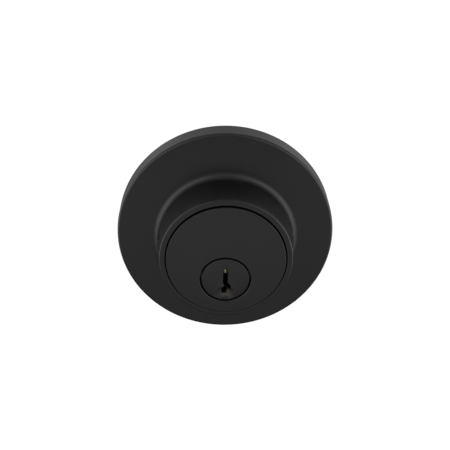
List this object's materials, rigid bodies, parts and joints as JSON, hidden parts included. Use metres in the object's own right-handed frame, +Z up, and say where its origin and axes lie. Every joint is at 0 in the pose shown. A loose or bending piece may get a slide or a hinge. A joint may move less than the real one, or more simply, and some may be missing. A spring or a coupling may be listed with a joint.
{
  "type": "deadbolt door lock",
  "caption": "Keyed outer half of a tubular deadbolt: round black rose, tapered boss guarding a pin tumbler cylinder, two threaded posts and a tailpiece behind that throws the bolt",
  "frame": {"origin": "on the lock's axis, in the plane of the door's outer face, where the rose's back rests", "axes": "+Z up with the keyway's straight slot upwards, +Y into the door along the tailpiece, +X to the right for someone facing the keyed side"},
  "size_m": [0.0636, 0.0762, 0.0636],
  "materials": {
    "black_rose": "satin black powder coat on die-cast zinc",
    "black_cylinder": "matte black coat on a machined brass body, bare behind the rose",
    "black_plug": "matte black coat on a machined brass plug, worn at the keyway",
    "pin_brass": "turned brass, slightly tarnished",
    "cover_brass": "rolled brass strip, staked in place",
    "spring_steel": "drawn stainless spring wire",
    "hardened_steel": "ground hardened steel",
    "plated_steel": "zinc-plated stamped steel",
    "screw_steel": "zinc-plated steel screw",
    "carrier_steel": "zinc-plated stamped steel plate",
    "post_steel": "turned and zinc-plated steel"
  },
  "bodies": {
    "housing": {"rose": "black_rose", "cylinder_body": "black_cylinder", "chamber_cover": "cover_brass", "anti_drill_rod_left": "hardened_steel", "anti_drill_rod_right": "hardened_steel", "carrier": "carrier_steel", "carrier_screw_upper": "screw_steel", "carrier_screw_lower": "screw_steel", "mount_post_left": "post_steel", "mount_post_right": "post_steel", "pin_spring_1": "spring_steel", "pin_spring_2": "spring_steel", "pin_spring_3": "spring_steel", "pin_spring_4": "spring_steel", "pin_spring_5": "spring_steel"},
    "plug": {"plug": "black_plug", "tail_plate": "plated_steel", "tail_screw_left": "screw_steel", "tail_screw_right": "screw_steel"},
    "tailpiece": {"tailpiece": "plated_steel"},
    "key_pin_1": {"key_pin_1": "pin_brass"},
    "key_pin_2": {"key_pin_2": "pin_brass"},
    "key_pin_3": {"key_pin_3": "pin_brass"},
    "key_pin_4": {"key_pin_4": "pin_brass"},
    "key_pin_5": {"key_pin_5": "pin_brass"},
    "driver_pin_1": {"driver_pin_1": "pin_brass"},
    "driver_pin_2": {"driver_pin_2": "pin_brass"},
    "driver_pin_3": {"driver_pin_3": "pin_brass"},
    "driver_pin_4": {"driver_pin_4": "pin_brass"},
    "driver_pin_5": {"driver_pin_5": "pin_brass"}
  },
  "joints": [
    {"name": "plug_turn", "type": "hinge", "parent": "housing", "child": "plug", "pos_m": [0, -0.0181, -0.0052], "axis": [0, -1, 0], "range_deg": [-90, 90]},
    {"name": "tailpiece_turn", "type": "hinge", "parent": "plug", "child": "tailpiece", "pos_m": [0, 0.009, -0.0052], "axis": [0, -1, 0], "range_deg": [0, 90]},
    {"name": "key_pin_1_drop", "type": "slide", "parent": "plug", "child": "key_pin_1", "axis": [0, 0, 1], "range_m": [-0.0007, 0]},
    {"name": "key_pin_2_drop", "type": "slide", "parent": "plug", "child": "key_pin_2", "axis": [0, 0, 1], "range_m": [-0.0015, 0]},
    {"name": "key_pin_3_drop", "type": "slide", "parent": "plug", "child": "key_pin_3", "axis": [0, 0, 1], "range_m": [-0.0023, 0]},
    {"name": "key_pin_4_drop", "type": "slide", "parent": "plug", "child": "key_pin_4", "axis": [0, 0, 1], "range_m": [-0.0011, 0]},
    {"name": "key_pin_5_drop", "type": "slide", "parent": "plug", "child": "key_pin_5", "axis": [0, 0, 1], "range_m": [-0.0019, 0]},
    {"name": "driver_pin_1_lift", "type": "slide", "parent": "housing", "child": "driver_pin_1", "axis": [0, 0, 1], "range_m": [0, 0.004], "stiffness_N_per_m": 150, "springref_m": -0.006, "deforming": ["pin_spring_1"]},
    {"name": "driver_pin_2_lift", "type": "slide", "parent": "housing", "child": "driver_pin_2", "axis": [0, 0, 1], "range_m": [0, 0.004], "stiffness_N_per_m": 150, "springref_m": -0.006, "deforming": ["pin_spring_2"]},
    {"name": "driver_pin_3_lift", "type": "slide", "parent": "housing", "child": "driver_pin_3", "axis": [0, 0, 1], "range_m": [0, 0.004], "stiffness_N_per_m": 150, "springref_m": -0.006, "deforming": ["pin_spring_3"]},
    {"name": "driver_pin_4_lift", "type": "slide", "parent": "housing", "child": "driver_pin_4", "axis": [0, 0, 1], "range_m": [0, 0.004], "stiffness_N_per_m": 150, "springref_m": -0.006, "deforming": ["pin_spring_4"]},
    {"name": "driver_pin_5_lift", "type": "slide", "parent": "housing", "child": "driver_pin_5", "axis": [0, 0, 1], "range_m": [0, 0.004], "stiffness_N_per_m": 150, "springref_m": -0.006, "deforming": ["pin_spring_5"]}
  ]
}
